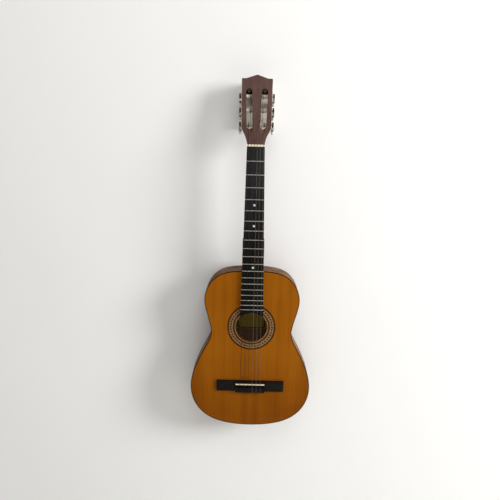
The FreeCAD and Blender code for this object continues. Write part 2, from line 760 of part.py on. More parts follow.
FRETS = 19
wires = []
for number_of_fret in range(1, FRETS + 1):
    at = fret_at(number_of_fret)
    half = "(board_nut_half + board_taper * %s)" % at
    wire = rod("fret_rad", "2 * " + half, "-" + half, "-board_thick", "-" + at, TURN_FRET)
    wire.Angle = 180
    wires.append(wire)
in_guitar(node(group(wires), "frets"))

STRINGS = {
    1: 0.36,
    2: 0.41,
    3: 0.51,
    4: 0.37,
    5: 0.45,
    6: 0.55,
}


def string_x(n, spread):
    """Sideways place of string n: the sixth, the thickest, is on the left."""
    return size(spread) * (3.5 - n) / 5


grooves = []
for n, radius in STRINGS.items():
    across = scaled("nut_spread", (3.5 - n) / 5)
    left_edge = across + " - %.2f" % (radius + 0.05)
    grooves.append(box(2 * radius + 0.1, 2, "nut_thick + 2", left_edge, "-2 - string_low", -1))
nut_block = box("2 * board_nut_half", "nut_high", "nut_thick", "-board_nut_half", "-nut_high", 0)
in_guitar(node(cut(nut_block, group(grooves)), "nut"))

# ---------------------------------------------------------------- bridge and saddle

bridge = new_body("bridge")


def bridge_pad(half, top, low, high):
    sk = sketch_on(bridge, "XZ_Plane")
    draw_polygon(sk, [(half, "-" + top), (half, "-" + low), ("-" + half, "-" + low), ("-" + half, "-" + top)])
    pad(bridge, sk, high)


bridge_pad("bridge_half", "bridge_top", "bridge_low", "wing_high")
bridge_pad("block_half", "block_top", "block_low", "block_high")
bridge_pad("block_half", "tie_top", "tie_low", "tie_high")
sk = sketch_on(bridge, "XZ_Plane", "saddle_foot")
top_edge = "-scale_len"
low_edge = "-scale_len - saddle_thick"
draw_polygon(sk, [
    ("saddle_half", top_edge),
    ("saddle_half", low_edge),
    ("-saddle_half", low_edge),
    ("-saddle_half", top_edge),
])
pocket(bridge, sk, "block_high", back=True)
sk = sketch_on(bridge, "XY_Plane", "-tie_top + 1")
for n in STRINGS:
    draw_circle(sk, scaled("saddle_spread", (3.5 - n) / 5), "-tie_hole_y", "tie_hole_rad")
pocket(bridge, sk, "tie_low - tie_top + 2")
in_guitar(node(bridge, "bridge"))

saddle = new_body("saddle")
sk = sketch_on(saddle, "YZ_Plane")
draw_polygon(sk, [
    ("-saddle_foot", "-scale_len"),
    ("-saddle_high + 0.9", "-scale_len"),
    ("-saddle_high", "-scale_len - 0.9"),
    ("-saddle_high", "-scale_len - saddle_thick + 0.9"),
    ("-saddle_high + 0.9", "-scale_len - saddle_thick"),
    ("-saddle_foot", "-scale_len - saddle_thick"),
])
pad(saddle, sk, "2 * saddle_half", both=True)
in_guitar(node(saddle, "saddle"))

# ---------------------------------------------------------------- strings


def tube(points, radius):
    """A round cord through points, its corners filled by balls a hair wider than the cord."""
    parts = []
    for start, end in zip(points, points[1:]):
        run = end - start
        parts.append(Part.makeCylinder(radius, run.Length, start, run))
    for middle in points[1:-1]:
        parts.append(Part.makeSphere(1.01 * radius, middle))
    cord = parts[0]
    for part in parts[1:]:
        cord = cord.fuse(part)
    return cord


# String to tuner: the outer strings go to the lowest rollers.
ROLLER_OF = {6: 0, 5: 1, 4: 2, 3: 2, 2: 1, 1: 0}
WIND_X = {0: 20.0, 1: 15.8, 2: 16.0}
STRING_HOLE_X = {0: 15.9, 1: 20.2, 2: 20.8}
STRING_CLEAR = 0.25


def string_route(n, radius):
    """From the roller over the nut and saddle, through the tie block and back in a loop."""
    side = 1 if n <= 3 else -1
    level = ROLLER_OF[n]
    tangent = size("wind_rad") + radius + STRING_CLEAR
    at_roller = head_point(side * WIND_X[level], size("roller_deep") - tangent, TUNER_AT[level])
    nut_x = string_x(n, "nut_spread")
    low_x = string_x(n, "saddle_spread")
    nut_y = -size("string_low") - radius
    saddle_y = -size("saddle_high") - radius
    hole_y = -size("tie_hole_y")
    over_y = -size("tie_high") - radius - 0.02
    front = -size("tie_top") + radius + 0.3
    behind = -size("tie_low") - radius - 0.3
    aside = low_x + 2 * radius + 0.05
    saddle_front = -size("scale_len")
    saddle_back = saddle_front - size("saddle_thick")
    return [
        at_roller,
        FreeCAD.Vector(nut_x, nut_y, size("nut_thick") + 0.2),
        FreeCAD.Vector(nut_x, nut_y, -0.2),
        FreeCAD.Vector(low_x, saddle_y, saddle_front - 0.4),
        FreeCAD.Vector(low_x, saddle_y, saddle_back + 0.4),
        FreeCAD.Vector(low_x, hole_y, front),
        FreeCAD.Vector(low_x, hole_y, behind),
        FreeCAD.Vector(aside, hole_y - radius, behind),
        FreeCAD.Vector(aside, over_y, behind),
        FreeCAD.Vector(aside, over_y, front),
        FreeCAD.Vector(aside, hole_y - 2 * radius - 0.6, front),
    ]


for n, radius in STRINGS.items():
    in_guitar(node(feature(tube(string_route(n, radius), radius)), "string_%d" % n))

# ---------------------------------------------------------------- tuners


def edge_half(along):
    """Half width of the head at a height above the flare."""
    straight = size("head_shoulder") - size("head_bevel") - size("head_flare_top")
    rise = (size("head_top_half") - size("head_low_half")) / straight
    return size("head_low_half") + rise * (along - size("head_flare_top"))


def side_plate(side):
    """A tuner side plate on one edge of the head, with two bearing lugs per worm post."""
    low, top = size("plate_low"), size("plate_top")
    thick = size("plate_thick")
    corners = [
        (edge_half(low), low),
        (edge_half(top), top),
        (edge_half(top) + thick, top),
        (edge_half(low) + thick, low),
    ]
    front, back = size("plate_front"), size("plate_back")
    wire = Part.makePolygon([FreeCAD.Vector(x, front, s) for x, s in corners + corners[:1]])
    plate = Part.Face(wire).extrude(FreeCAD.Vector(0, back - front, 0))
    half = size("lug_half")
    for along in TUNER_AT:
        worm_s = along - size("worm_off")
        worm_x = gear_start(along) + size("gear_thick") / 2
        inner = edge_half(worm_s) + thick / 2
        for lug_y in (front + 1, back - 1 - size("lug_thick")):
            lug = Part.makeBox(
                worm_x + half - inner, size("lug_thick"), 2 * half,
                FreeCAD.Vector(inner, lug_y, worm_s - half),
            )
            plate = plate.fuse(lug)
        post = size("post_rad") + size("axle_fit")
        plate = plate.cut(head_rod(post, back - front + 2, worm_x, front - 1, worm_s, INWARD))
        axle = size("axle_rad") + 0.2
        plate = plate.cut(head_rod(axle, 10, inner - 4, size("roller_deep"), along, ACROSS))
    if side < 0:
        plate = plate.mirror(FreeCAD.Vector(), ACROSS)
    return plate


def gear_start(along):
    """Inner face of a gear, from the centreline."""
    return edge_half(along + size("gear_rad")) + size("plate_thick") + size("gear_gap")


in_head(node(feature(Part.makeCompound([side_plate(-1), side_plate(1)])), "tuner_plates"))

plate_screws = []
for side in (-1, 1):
    for along in (TUNER_AT[0] + 14.0, TUNER_AT[1] + 14.0):
        x = edge_half(along + 2) + size("plate_thick")
        head_disc = rod(2.2, 1.2, "%.3f" % (side * x), "roller_deep", along, TURN_X)
        if side < 0:
            place(head_disc, "%.3f" % (-x - 1.2), "roller_deep", along)
        plate_screws.append(head_disc)
in_head(node(group(plate_screws), "tuner_screws"))

BUTTONS = {}
for n in range(1, 7):
    side = 1 if n <= 3 else -1
    along = TUNER_AT[ROLLER_OF[n]]
    start = gear_start(along)
    gear_x = start if side > 0 else -start - size("gear_thick")
    worm_x = side * (start + size("gear_thick") / 2)
    worm_s = along - size("worm_off")
    deep = size("roller_deep")

    # roller: axle, sleeve between the slot's walls, winding and the stub that carries the gear
    axle_in = size("axle_end")
    reach_out = start - axle_in
    sleeve_half = SLOT_R - 0.6
    sleeve_in = slot_x(along) - sleeve_half
    wind_in = WIND_X[ROLLER_OF[n]] - size("wind_half")
    stub = "gear_thick + 2"
    pieces = [
        (rod("axle_rad", reach_out, 0, 0, 0, TURN_X), axle_in, reach_out),
        (rod("roller_rad", 2 * sleeve_half, 0, 0, 0, TURN_X), sleeve_in, 2 * sleeve_half),
        (rod("wind_rad", "2 * wind_half", 0, 0, 0, TURN_X), wind_in, 2 * size("wind_half")),
        (rod("gear_bore", stub, 0, 0, 0, TURN_X), start - 1, size("gear_thick") + 2),
        (rod(2.8, 1, 0, 0, 0, TURN_X), start + size("gear_thick"), 1),
    ]
    for piece, inner, length in pieces:
        at = inner if side > 0 else -inner - length
        place(piece, "%.4f" % at, "roller_deep", along)
    hole_x = side * STRING_HOLE_X[ROLLER_OF[n]]
    string_hole = rod("string_hole_rad", "4 * roller_rad", hole_x, "roller_deep - 2 * roller_rad", along, TURN_Y)
    whole_roller = cut(fuse([piece for piece, inner, length in pieces]), string_hole)
    in_head(node(whole_roller, "roller_%d" % n))

    # gear: a disc with round gaps between its teeth
    disc = rod("gear_rad", "gear_thick", "%.4f" % gear_x, "roller_deep", along, TURN_X)
    gaps = [rod("gear_bore", "gear_thick + 2", "%.4f" % (gear_x - 1), "roller_deep", along, TURN_X)]
    teeth = int(size("gear_teeth"))
    for i in range(teeth):
        turn = 360.0 * i / teeth
        gap_y = "roller_deep + (gear_rad + 0.25) * cos(%.4f deg)" % turn
        gap_z = "%.4f + (gear_rad + 0.25) * sin(%.4f deg)" % (along, turn)
        gaps.append(rod(0.95, "gear_thick + 2", "%.4f" % (gear_x - 1), gap_y, gap_z, TURN_X))
    in_head(node(cut(disc, group(gaps)), "gear_%d" % n))

    # worm on its post, with raised rings for the thread
    post_from = size("plate_front") + 0.5
    post_to = size("head_thick") + size("button_gap") - 0.5
    worm_from = size("plate_front") + 1 + size("lug_thick") + 0.3
    worm_to = size("plate_back") - 1 - size("lug_thick") - 0.3
    worm = [
        rod("post_rad", post_to - post_from, worm_x, post_from, worm_s, TURN_Y),
        rod("worm_root", worm_to - worm_from, worm_x, worm_from, worm_s, TURN_Y),
        rod(2.4, 1.2, worm_x, post_to - 1.2, worm_s, TURN_Y),
    ]
    rings = 4
    pitch = (worm_to - worm_from - 0.9) / (rings - 1)
    for i in range(rings):
        worm.append(rod("worm_rad", 0.9, worm_x, worm_from + i * pitch, worm_s, TURN_Y))
    in_head(node(fuse(worm), "worm_%d" % n))

    # button: an oval paddle, broad across the head's length
    oval = Part.Wire(Part.Ellipse(FreeCAD.Vector(), size("button_half"), size("button_thin")).toShape())
    waist = Part.Wire(Part.Ellipse(FreeCAD.Vector(), 3.6, 3.2).toShape())
    swell = Part.Wire(Part.Ellipse(FreeCAD.Vector(), 7.6, 4.2).toShape())
    tip = Part.Wire(Part.Ellipse(FreeCAD.Vector(), 5.8, 2.6).toShape())
    profile = ((waist, 0.0), (swell, 5.0), (oval, 10.0), (tip, size("button_long")))
    rings_of_button = []
    for wire, offset in profile:
        wire.translate(FreeCAD.Vector(0, 0, offset))
        rings_of_button.append(wire)
    button = Part.makeLoft(rings_of_button, True, False)
    # the loft's axis is turned to run inwards and its broad side along the head
    turned = FreeCAD.Placement(
        FreeCAD.Vector(worm_x, post_to, worm_s),
        FreeCAD.Rotation(FreeCAD.Vector(0, 0, 1), FreeCAD.Vector(1, 0, 0), INWARD, "XYZ"),
    )
    in_head(node(feature(button.transformed(turned.toMatrix(), True)), "button_%d" % n))

# ---------------------------------------------------------------- hanger

wall_plate = new_body("wall_plate")
sk = sketch_on(wall_plate, "XZ_Plane")
half_high = size("wall_high") / 2
right_x = size("wall_half")
shoulder = half_high - size("wall_arch")
crown = FreeCAD.Vector(0, half_high, 0)
corners = [
    FreeCAD.Vector(-right_x, shoulder, 0),
    FreeCAD.Vector(-right_x, -half_high, 0),
    FreeCAD.Vector(right_x, -half_high, 0),
    FreeCAD.Vector(right_x, shoulder, 0),
]
for start, end in zip(corners, corners[1:]):
    sk.addGeometry(Part.LineSegment(start, end), False)
sk.addGeometry(Part.Arc(corners[3], crown, corners[0]), False)
sk.addConstraint(Sketcher.Constraint("Coincident", 0, 2, 1, 1))
sk.addConstraint(Sketcher.Constraint("Coincident", 1, 2, 2, 1))
sk.addConstraint(Sketcher.Constraint("Coincident", 2, 2, 3, 1))
sk.addConstraint(Sketcher.Constraint("Coincident", 3, 2, 0, 1))
pin(sk, 0, 1, "-wall_half", "0.5 * wall_high - wall_arch")
pin(sk, 1, 1, "-wall_half", "-0.5 * wall_high")
pin(sk, 2, 1, "wall_half", "-0.5 * wall_high")
pin(sk, 2, 2, "wall_half", "0.5 * wall_high - wall_arch")
arch_radius = sk.Geometry[3].Radius
bound = sk.addConstraint(Sketcher.Constraint("Radius", 3, arch_radius))
sk.setExpression(
    "Constraints[%d]" % bound, link("(wall_half ^ 2 + wall_arch ^ 2) / (2 * wall_arch)")
)
pad(wall_plate, sk, "wall_thick")
doc.recompute()

front_rim = [
    "Edge%d" % (i + 1)
    for i, edge in enumerate(wall_plate.Shape.Edges)
    if edge.BoundBox.YMax < -size("wall_thick") + 0.01
]
plain_plate = wall_plate.Tip
eased = wall_plate.newObject("PartDesign::Chamfer", "wall_plate_edge")
eased.Base = (plain_plate, front_rim)
bind(eased, Size="wall_ease")
wall_plate.Tip = eased
doc.recompute()

sk = sketch_on(wall_plate, "XZ_Plane", "wall_thick")
for rise in ("-", ""):
    draw_circle(sk, 0, "%s0.5 * wall_hole_z" % rise, "wall_hole")
doc.recompute()
before = wall_plate.Shape.Volume
wall_holes = wall_plate.newObject("PartDesign::Hole", "wall_screw_holes")
wall_holes.Profile = sk
wall_holes.Threaded = False
wall_holes.ThreadType = "None"
wall_holes.DepthType = "ThroughAll"
bind(wall_holes, Diameter="2 * wall_hole")
wall_holes.HoleCutType = "Countersink"
wall_holes.HoleCutCustomValues = True
bind(wall_holes, HoleCutDiameter="2 * wall_sink")
wall_holes.HoleCutCountersinkAngle = 90
wall_plate.Tip = wall_holes
doc.recompute()
if wall_plate.Shape.Volume > before - 1:
    raise RuntimeError("the wall screw holes removed nothing")

sk = sketch_on(wall_plate, "XZ_Plane", "wall_thick")
draw_circle(sk, 0, "flange_mid - screw_off", "tap_rad")
draw_circle(sk, 0, "flange_mid + screw_off", "tap_rad")
pocket(wall_plate, sk, "screw_in + 0.5")
node(wall_plate, "wall_plate")

flange = box(
    "2 * flange_half", "flange_thick", "flange_high",
    "-flange_half", "-wall_thick - flange_thick", "flange_mid - flange_high / 2",
)
flange_holes = [
    rod("tap_rad", "flange_thick + 2", 0, "-wall_thick - flange_thick - 1",
        "flange_mid %s screw_off" % sign, TURN_Y)
    for sign in ("-", "+")
]
HANG = "slot_top - sleeve_rad - hang_gap"
arm_long = (-size("wall_thick") - size("flange_thick") / 2) - (
    size("face_y") + head_point(0, size("bar_deep"), number(HANG)).y)
arm = rod("arm_rad", arm_long / math.cos(math.radians(size("head_angle"))), 0, "bar_deep", HANG, TURN_Y)
bar = rod("bar_rad", "2 * slot_off + 2 * bar_rad", "-slot_off - bar_rad", "bar_deep", HANG, TURN_X)
pegs = [
    rod("peg_rad", "bar_deep - peg_tip", sign + "slot_off", "peg_tip", HANG, TURN_Y)
    for sign in ("-", "")
]
yoke = in_head(fuse([arm, bar] + pegs))
bracket = fuse([cut(flange, group(flange_holes)), yoke])
node(bracket, "hanger_bracket")

sleeves = []
COLLAR = "head_thick + hang_gap"
for sign in ("-", ""):
    at_x = sign + "slot_off"
    outer = rod("sleeve_rad", COLLAR + " - sleeve_tip", at_x, "sleeve_tip", HANG, TURN_Y)
    collar = rod("collar_rad", "collar_thick", at_x, COLLAR, HANG, TURN_Y)
    core = rod("peg_rad", "bar_deep", at_x, "peg_tip", HANG, TURN_Y)
    sleeves.append(cut(fuse([outer, collar]), core))
in_head(node(group(sleeves), "peg_sleeves"))

bracket_screws = []
for sign in ("-", "+"):
    z = "flange_mid %s screw_off" % sign
    face = "-wall_thick - flange_thick"
    shank = rod("screw_rad", "screw_in + flange_thick + 0.5", 0, face + " - 0.5", z, TURN_Y)
    screw_head_disc = rod("screw_head", "screw_head_high", 0, face + " - screw_head_high", z, TURN_Y)
    drive = rod(1.6, 1.4, 0, face + " - screw_head_high", z, TURN_Y)
    bracket_screws.append(cut(fuse([shank, screw_head_disc]), drive))
node(group(bracket_screws), "bracket_screws")

# ---------------------------------------------------------------- check and write

doc.recompute()
for obj in doc.Objects:
    if any(flag in obj.State for flag in ("Invalid", "Error")):
        raise RuntimeError("%s (%s) is in state %s" % (obj.Name, obj.Label, obj.State))
for obj in NODES:
    shape = obj.Shape
    if shape.isNull() or not shape.isValid() or not shape.Solids:
        raise RuntimeError("%s has no valid solid" % obj.Label)
    if obj.Label.startswith(("string", "roller", "worm")) and len(shape.Solids) != 1:
        raise RuntimeError("%s came out in %d pieces" % (obj.Label, len(shape.Solids)))
    shape.exportStep(os.path.join("parts", obj.Label + ".step"))
print("wrote %d nodes" % len(NODES))
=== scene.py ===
import math
import bpy
import bmesh
from mathutils import Matrix, Vector


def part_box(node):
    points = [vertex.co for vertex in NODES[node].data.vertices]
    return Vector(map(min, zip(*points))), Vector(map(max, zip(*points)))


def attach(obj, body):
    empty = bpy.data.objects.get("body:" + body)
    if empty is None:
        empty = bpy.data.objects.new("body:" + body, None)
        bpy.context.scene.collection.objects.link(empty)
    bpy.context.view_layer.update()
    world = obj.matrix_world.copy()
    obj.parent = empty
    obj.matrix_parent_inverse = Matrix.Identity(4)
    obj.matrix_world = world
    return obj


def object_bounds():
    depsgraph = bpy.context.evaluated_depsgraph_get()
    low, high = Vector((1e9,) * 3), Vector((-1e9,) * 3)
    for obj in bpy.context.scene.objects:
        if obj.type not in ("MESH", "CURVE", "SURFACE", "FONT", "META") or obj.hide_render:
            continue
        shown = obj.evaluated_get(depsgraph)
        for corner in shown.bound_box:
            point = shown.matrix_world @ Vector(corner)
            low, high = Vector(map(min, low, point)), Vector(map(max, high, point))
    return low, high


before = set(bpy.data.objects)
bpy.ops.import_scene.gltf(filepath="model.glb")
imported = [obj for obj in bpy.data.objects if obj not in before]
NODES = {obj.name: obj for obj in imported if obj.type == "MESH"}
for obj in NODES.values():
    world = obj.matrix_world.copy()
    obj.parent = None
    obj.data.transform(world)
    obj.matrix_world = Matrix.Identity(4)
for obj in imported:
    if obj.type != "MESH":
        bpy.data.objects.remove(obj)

cad_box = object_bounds()
MM = 0.001

# ------------------------------------------------------------------ camera

# The eye is a little above the nut and in front of the fingerboard, looking slightly down.
PITCH = math.radians(12.5)
ROLL = math.radians(1.35)
EYE_SIDE = -0.0087
EYE_AHEAD = 1.284
EYE_ABOVE_NUT = 0.018
nut_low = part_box("nut")[0]
board_low, board_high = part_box("fingerboard")
eye = Vector((EYE_SIDE, board_low.y - EYE_AHEAD, nut_low.z + EYE_ABOVE_NUT))
camera_data = bpy.data.cameras.new("camera")
camera_data.sensor_width = 36.0
camera_data.lens = 36.0
camera = bpy.data.objects.new("camera", camera_data)
bpy.context.scene.collection.objects.link(camera)
aim = Matrix.Rotation(math.pi / 2 - PITCH, 4, "X") @ Matrix.Rotation(ROLL, 4, "Z")
camera.matrix_world = Matrix.Translation(eye) @ aim
bpy.context.scene.camera = camera
bpy.context.scene.view_settings.view_transform = "Standard"

# ------------------------------------------------------------------ node helpers


def srgb(r, g, b):
    """An 8-bit display colour as linear RGBA."""
    def linear(v):
        v /= 255.0
        return v / 12.92 if v <= 0.04045 else ((v + 0.055) / 1.055) ** 2.4
    return (linear(r), linear(g), linear(b), 1.0)


class Shader:
    """A material being built: short calls that add nodes and join them."""

    def __init__(self, name, roughness=0.5, metallic=0.0, coat=0.0, coat_rough=0.1, specular=0.5,
                 tint=(1.0, 1.0, 1.0, 1.0)):
        self.material = bpy.data.materials.new(name)
        self.material.use_nodes = True
        self.tree = self.material.node_tree
        self.bsdf = self.tree.nodes["Principled BSDF"]
        self.bsdf.inputs["Roughness"].default_value = roughness
        self.bsdf.inputs["Metallic"].default_value = metallic
        self.bsdf.inputs["Coat Weight"].default_value = coat
        self.bsdf.inputs["Coat Roughness"].default_value = coat_rough
        self.bsdf.inputs["IOR"].default_value = 1.5
        self.bsdf.inputs["Specular IOR Level"].default_value = specular
        self.bsdf.inputs["Coat IOR"].default_value = 1.5
        self.bsdf.inputs["Specular Tint"].default_value = tint
        self.bsdf.inputs["Coat Tint"].default_value = tint

    def add(self, kind, **inputs):
        made = self.tree.nodes.new(kind)
        for name, value in inputs.items():
            self.feed(made, name.replace("_", " "), value)
        return made

    def feed(self, made, name, value):
        """Joins a socket to an input, or sets the input's own value."""
        socket = made.inputs[int(name)] if name.isdigit() else made.inputs[name]
        if isinstance(value, bpy.types.NodeSocket):
            self.tree.links.new(value, socket)
        else:
            socket.default_value = value

    def where(self):
        """Object coordinates in metres."""
        return self.add("ShaderNodeTexCoord").outputs["Object"]

    def parts(self, vector):
        made = self.add("ShaderNodeSeparateXYZ", Vector=vector)
        return made.outputs["X"], made.outputs["Y"], made.outputs["Z"]

    def joined(self, x, y, z):
        made = self.add("ShaderNodeCombineXYZ", X=x, Y=y, Z=z)
        return made.outputs["Vector"]

    def noise(self, vector, scale, detail=4.0, rough=0.5, twist=0.0):
        made = self.add("ShaderNodeTexNoise", Vector=vector, Scale=scale, Detail=detail,
                        Roughness=rough, Distortion=twist)
        return made.outputs["Fac"]

    def math(self, operation, a, b=0.0):
        made = self.add("ShaderNodeMath")
        made.operation = operation
        self.feed(made, "0", a)
        self.feed(made, "1", b)
        return made.outputs["Value"]

    def ramp(self, factor, stops):
        """Colours along a factor: stops are (position, rgba)."""
        made = self.add("ShaderNodeValToRGB", Fac=factor)
        ramp = made.color_ramp
        ramp.elements[0].position, ramp.elements[0].color = stops[0]
        ramp.elements[1].position, ramp.elements[1].color = stops[-1]
        for position, colour in stops[1:-1]:
            ramp.elements.new(position).color = colour
        return made.outputs["Color"]

    def spread(self, value, low, high, to_low=0.0, to_high=1.0):
        made = self.add("ShaderNodeMapRange")
        self.feed(made, "Value", value)
        self.feed(made, "From Min", low)
        self.feed(made, "From Max", high)
        self.feed(made, "To Min", to_low)
        self.feed(made, "To Max", to_high)
        return made.outputs["Result"]

    def mix(self, factor, a, b):
        made = self.add("ShaderNodeMix")
        made.data_type = "RGBA"
        self.feed(made, "0", factor)
        self.feed(made, "6", a)
        self.feed(made, "7", b)
        return made.outputs[2]

    def colour(self, value):
        self.feed(self.bsdf, "Base Color", value)

    def roughness(self, value):
        self.feed(self.bsdf, "Roughness", value)

    def bump(self, height, depth, strength=1.0):
        """Surface relief of a depth in metres."""
        made = self.add("ShaderNodeBump", Height=height)
        made.inputs["Strength"].default_value = strength
        made.inputs["Distance"].default_value = depth
        self.feed(self.bsdf, "Normal", made.outputs["Normal"])


def dress(shader, *names):
    """Gives CAD nodes a material in place of their plain one."""
    for name in names:
        mesh = NODES[name].data
        mesh.materials.clear()
        mesh.materials.append(shader.material)


# ------------------------------------------------------------------ woods


def plank(name, dark, mid, light, along="Z", fine=900.0, broad=26.0, stretch=0.035, contrast=1.0,
          mirror=False, pores=0.0, painted_shade=None, **finish):
    """Straight-grained wood: broad colour streaks, fine growth lines and pores along one axis.

    The height range (z0, z1, change) is painted shade: the tone falls by change from height z0 down
    to height z1, lighter above and darker below as if the light weakens downward.
    """
    made = Shader(name, **finish)
    x, y, z = made.parts(made.where())
    if mirror:
        x = made.math("ABSOLUTE", x)
    axes = {"X": x, "Y": y, "Z": z}
    axes[along] = made.math("MULTIPLY", axes[along], stretch)
    grain = made.joined(axes["X"], axes["Y"], axes["Z"])
    streak = made.noise(grain, broad, 3.0, 0.55, 0.15)
    lines = made.noise(grain, fine, 3.0, 0.6)
    mottle = made.noise(made.where(), 9.0, 2.0)
    lines_part = made.math("MULTIPLY", made.math("SUBTRACT", lines, 0.5), 0.55 * contrast)
    mottle_part = made.math("MULTIPLY", made.math("SUBTRACT", mottle, 0.5), 0.35)
    streak_part = made.math("MULTIPLY", made.math("SUBTRACT", streak, 0.5), 1.35 * contrast)
    total = made.math("ADD", made.math("ADD", streak_part, lines_part), mottle_part)
    # Painted shade: the tone darkens from the top of the height range down to its bottom, standing
    # in for light that weakens downward.
    if painted_shade:
        start, end, change = painted_shade
        shade_drop = made.math("SUBTRACT", made.spread(z, start, end), 0.45)
        total = made.math("SUBTRACT", total, made.math("MULTIPLY", shade_drop, change))
    tone = made.math("ADD", total, 0.5)
    colour = made.ramp(tone, [(0.18, dark), (0.5, mid), (0.82, light)])
    if pores:
        fleck = made.noise(grain, fine * 1.7, 2.0, 0.5)
        mask = made.spread(fleck, 0.62, 0.7)
        shade = (dark[0] * 0.45, dark[1] * 0.45, dark[2] * 0.45, 1.0)
        colour = made.mix(made.math("MULTIPLY", mask, pores), colour, shade)
    made.colour(colour)
    made.bump(lines, 0.00004, 0.5)
    return made


AMBER = (1.0, 0.62, 0.22, 1.0)
WARM = (1.0, 0.86, 0.72, 1.0)
top_low, top_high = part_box("soundboard")
# The soundboard carries painted shade: darker towards the tail, lighter towards the neck.
TOP_WOOD = plank("top_wood", srgb(116, 61, 4), srgb(134, 74, 7), srgb(150, 87, 12), fine=1500.0,
                 broad=42.0, stretch=0.02, contrast=0.8, mirror=True, roughness=0.5, specular=0.12,
                 painted_shade=(top_high.z - 0.23, top_low.z + 0.04, 0.4), tint=AMBER)
RIM_WOOD = plank("rim_wood", srgb(82, 57, 42), srgb(114, 84, 65), srgb(134, 102, 80), fine=900.0,
                 broad=34.0, stretch=0.06, pores=0.5, roughness=0.6, specular=0.08, tint=WARM)
EDGE_WOOD = plank("binding_wood", srgb(14, 6, 3), srgb(22, 10, 4), srgb(34, 17, 8), fine=700.0,
                  broad=60.0, roughness=0.7, specular=0.02, tint=WARM)
PALE_WOOD = plank("inner_wood", srgb(120, 84, 48), srgb(146, 108, 66), srgb(168, 130, 84),
                  along="X", fine=1200.0, broad=30.0, roughness=0.7, specular=0.2)
NECK_WOOD = plank("neck_wood", srgb(62, 30, 20), srgb(88, 46, 32), srgb(112, 64, 44), fine=900.0,
                  broad=48.0, stretch=0.05, pores=0.6, roughness=0.42, coat=0.25, coat_rough=0.2)
HEAD_WOOD = plank("head_wood", srgb(70, 47, 42), srgb(86, 60, 54), srgb(100, 71, 63), fine=1100.0,
                  broad=90.0, stretch=0.05, contrast=0.7, pores=0.5, roughness=0.5, specular=0.18)
board_low, board_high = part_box("fingerboard")
# The fingerboard carries painted shade: darker towards its lower, body end.
BOARD_WOOD = plank("board_wood", srgb(15, 15, 15), srgb(29, 29, 30), srgb(43, 43, 45), fine=1500.0,
                   broad=120.0, stretch=0.04, pores=0.8, roughness=0.55, specular=0.06,
                   painted_shade=(board_high.z - 0.05, board_low.z + 0.1, 0.7))
BRIDGE_WOOD = plank("bridge_wood", srgb(6, 6, 5), srgb(14, 13, 11), srgb(26, 24, 20), along="X",
                    fine=1300.0, broad=90.0, stretch=0.05, pores=0.6, roughness=0.5, specular=0.12)
BAND_WOOD = plank("band_inlay", srgb(108, 82, 54), srgb(128, 101, 70), srgb(148, 120, 90),
                  fine=1600.0, broad=200.0, stretch=0.3, roughness=0.6, specular=0.05)
INLAY_WOOD = plank("dark_inlay", srgb(50, 24, 5), srgb(70, 36, 9), srgb(88, 48, 14), fine=1600.0,
                   broad=200.0, stretch=0.3, roughness=0.6, specular=0.03, tint=AMBER)
BEAD_WOOD = plank("bead_inlay", srgb(16, 8, 3), srgb(26, 14, 6), srgb(40, 22, 10), fine=1600.0,
                  broad=200.0, stretch=0.3, roughness=0.6, specular=0.03, tint=AMBER)

dress(TOP_WOOD, "soundboard")
dress(RIM_WOOD, "side_left", "side_right", "back_plate")
dress(EDGE_WOOD, "top_binding", "back_binding")
dress(PALE_WOOD, "end_blocks", "linings", "soundboard_braces", "back_braces")
dress(NECK_WOOD, "neck")
dress(HEAD_WOOD, "head_veneer")
dress(BOARD_WOOD, "fingerboard")
dress(BRIDGE_WOOD, "bridge")
dress(BAND_WOOD, "rosette_band")
dress(INLAY_WOOD, "rosette_rings")
dress(BEAD_WOOD, "rosette_beads")

# ------------------------------------------------------------------ plastics, metals, paper


def moulded(name, base, spots, scale=400.0, relief=0.00002, **finish):
    """Moulded plastic, rubber or bone: slight mottling and a fine surface texture."""
    made = Shader(name, **finish)
    cloud = made.noise(made.where(), scale * 0.12, 3.0)
    speck = made.noise(made.where(), scale * 4.0, 3.0)
    made.colour(made.mix(made.spread(cloud, 0.35, 0.65), base, spots))
    rough = finish.get("roughness", 0.5)
    made.roughness(made.spread(speck, 0.3, 0.7, rough * 0.85, rough * 1.15))
    made.bump(speck, relief, 0.4)
    return made


def brushed(name, base, dull, along="Z", **finish):
    """Plated metal with fine draw marks and duller patches."""
    made = Shader(name, metallic=1.0, **finish)
    x, y, z = made.parts(made.where())
    axes = {"X": x, "Y": y, "Z": z}
    axes[along] = made.math("MULTIPLY", axes[along], 0.05)
    marks = made.noise(made.joined(axes["X"], axes["Y"], axes["Z"]), 3000.0, 3.0)
    patch = made.noise(made.where(), 160.0, 4.0)
    made.colour(made.mix(made.spread(patch, 0.4, 0.7), base, dull))
    rough = finish.get("roughness", 0.3)
    made.roughness(made.spread(marks, 0.3, 0.7, rough * 0.7, rough * 1.4))
    made.bump(marks, 0.00001, 0.3)
    return made


PALE = plank("plate_pale", srgb(198, 191, 176), srgb(208, 202, 188), srgb(216, 210, 197),
             fine=600.0,
             broad=40.0, stretch=0.05, contrast=0.6, roughness=0.6, specular=0.15)
COATED = moulded("bracket_steel", srgb(26, 26, 27), srgb(34, 34, 35), 900.0, 0.00004,
                 roughness=0.45)
RUBBER = moulded("sleeve_rubber", srgb(20, 20, 21), srgb(28, 28, 28), 700.0, 0.00005, roughness=0.8)
CREAM = moulded("nut_cream", srgb(236, 224, 198), srgb(222, 208, 178), 500.0, roughness=0.38)
ROLLER = moulded("roller_cream", srgb(214, 208, 190), srgb(196, 189, 168), 500.0, roughness=0.4)
PEARL = moulded("button_pearl", srgb(226, 226, 218), srgb(204, 205, 198), 900.0, roughness=0.22,
                coat=0.6, coat_rough=0.08)
NYLON = moulded("treble_nylon", srgb(104, 94, 74), srgb(90, 80, 62), 900.0, roughness=0.4,
                specular=0.12)
